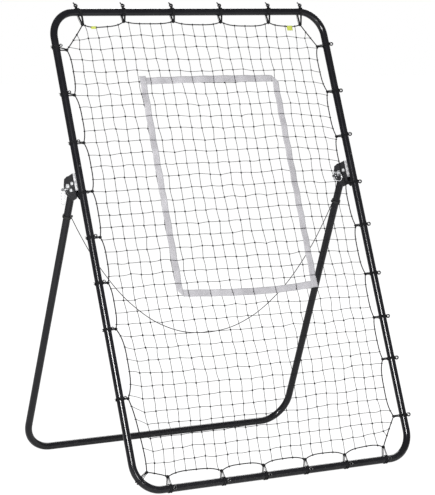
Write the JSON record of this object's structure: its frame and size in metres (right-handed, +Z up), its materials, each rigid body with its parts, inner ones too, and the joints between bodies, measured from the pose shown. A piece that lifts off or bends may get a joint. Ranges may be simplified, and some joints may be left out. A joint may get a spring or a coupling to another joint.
{
  "type": "pitching target net",
  "caption": "Leaning black tube frame with a laced net and a ribbon strike zone, held up by a hinged U-shaped rear stand that locks with pins and folds flat.",
  "frame": {"origin": "on the floor, in the middle of the footprint", "axes": "+Z up, +X to the right seen from the front, +Y to the rear, from the leaning net towards the stand"},
  "size_m": [1.1328, 0.8347, 1.5517],
  "materials": {
    "tube": "black powder coat, satin",
    "bracket": "black powder coat on pressed plate",
    "zinc": "bright zinc plate",
    "pin": "zinc-plated turned steel",
    "wire": "bright drawn wire",
    "button": "plain spring steel",
    "nylon": "natural nylon",
    "plug": "black moulded plastic",
    "twine": "black knotted twine",
    "rope": "black laid rope",
    "ribbon": "pale grey woven ribbon",
    "elastic": "black covered elastic",
    "tag": "yellow-green woven tape, blank",
    "cord": "thin black cord"
  },
  "bodies": {
    "target_frame": {"corner_top_left": "tube", "corner_top_right": "tube", "corner_bottom_left": "tube", "corner_bottom_right": "tube", "side_tube_left": "tube", "side_tube_right": "tube", "top_rail": "tube", "bottom_rail": "tube", "bracket_left": "bracket", "bracket_right": "bracket", "pivot_bolts": "zinc", "pivot_nuts": "zinc", "cross_bolts": "zinc", "cross_nuts": "zinc", "pivot_washers": "nylon", "net_mesh": "twine", "border_rope": "rope", "zone_ribbon_top": "ribbon", "zone_ribbon_bottom": "ribbon", "zone_ribbon_left": "ribbon", "zone_ribbon_right": "ribbon", "ties_top": "elastic", "ties_right": "elastic", "ties_bottom": "elastic", "ties_left": "elastic", "tie_rings": "elastic", "rope_tags": "tag"},
    "stand": {"leg_left": "tube", "leg_right": "tube", "stand_corner_left": "tube", "stand_corner_right": "tube", "stand_rail": "tube", "leg_plugs": "plug", "cord_collars": "plug", "hanging_cord": "cord"},
    "left_pin": {"lock_pin_left": "pin"},
    "right_pin": {"lock_pin_right": "pin"},
    "left_ring": {"pull_ring_left": "wire"},
    "right_ring": {"pull_ring_right": "wire"},
    "high_left_button": {"snap_button_high_left": "button"},
    "high_right_button": {"snap_button_high_right": "button"},
    "low_left_button": {"snap_button_low_left": "button"},
    "low_right_button": {"snap_button_low_right": "button"},
    "leg_left_button": {"snap_button_leg_left": "button"},
    "leg_right_button": {"snap_button_leg_right": "button"}
  },
  "joints": [
    {"name": "stand_fold", "type": "hinge", "parent": "target_frame", "child": "stand", "pos_m": [0, 0.02681, 0.9577], "axis": [-1, 0, 0], "range_deg": [0, 42.5], "deforming": ["hanging_cord"]},
    {"name": "left_pin_pull", "type": "slide", "parent": "target_frame", "child": "left_pin", "axis": [-1, 0, 0], "range_m": [0, 0.045]},
    {"name": "right_pin_pull", "type": "slide", "parent": "target_frame", "child": "right_pin", "axis": [-1, 0, 0], "range_m": [0, 0.045]},
    {"name": "left_ring_swing", "type": "hinge", "parent": "left_pin", "child": "left_ring", "pos_m": [-0.5616, 0.04881, 0.94496], "axis": [0, 1, 0], "range_deg": [-5, 95]},
    {"name": "right_ring_swing", "type": "hinge", "parent": "right_pin", "child": "right_ring", "pos_m": [0.5134, 0.04881, 0.94496], "axis": [0, 0.0523, -0.9986], "range_deg": [0, 95]},
    {"name": "high_left_button_press", "type": "slide", "parent": "target_frame", "child": "high_left_button", "axis": [0, 0.9336, -0.3584], "range_m": [0, 0.0028], "stiffness_N_per_m": 1500, "springref_m": -0.001},
    {"name": "low_left_button_press", "type": "slide", "parent": "target_frame", "child": "low_left_button", "axis": [0, -0.9336, 0.3584], "range_m": [0, 0.0028], "stiffness_N_per_m": 1500, "springref_m": -0.001},
    {"name": "leg_left_button_press", "type": "slide", "parent": "stand", "child": "leg_left_button", "axis": [0, -0.9285, -0.3714], "range_m": [0, 0.0028], "stiffness_N_per_m": 1500, "springref_m": -0.001},
    {"name": "high_right_button_press", "type": "slide", "parent": "target_frame", "child": "high_right_button", "axis": [0, 0.9336, -0.3584], "range_m": [0, 0.0028], "stiffness_N_per_m": 1500, "springref_m": -0.001},
    {"name": "low_right_button_press", "type": "slide", "parent": "target_frame", "child": "low_right_button", "axis": [0, -0.9336, 0.3584], "range_m": [0, 0.0028], "stiffness_N_per_m": 1500, "springref_m": -0.001},
    {"name": "leg_right_button_press", "type": "slide", "parent": "stand", "child": "leg_right_button", "axis": [0, -0.9285, -0.3714], "range_m": [0, 0.0028], "stiffness_N_per_m": 1500, "springref_m": -0.001}
  ]
}
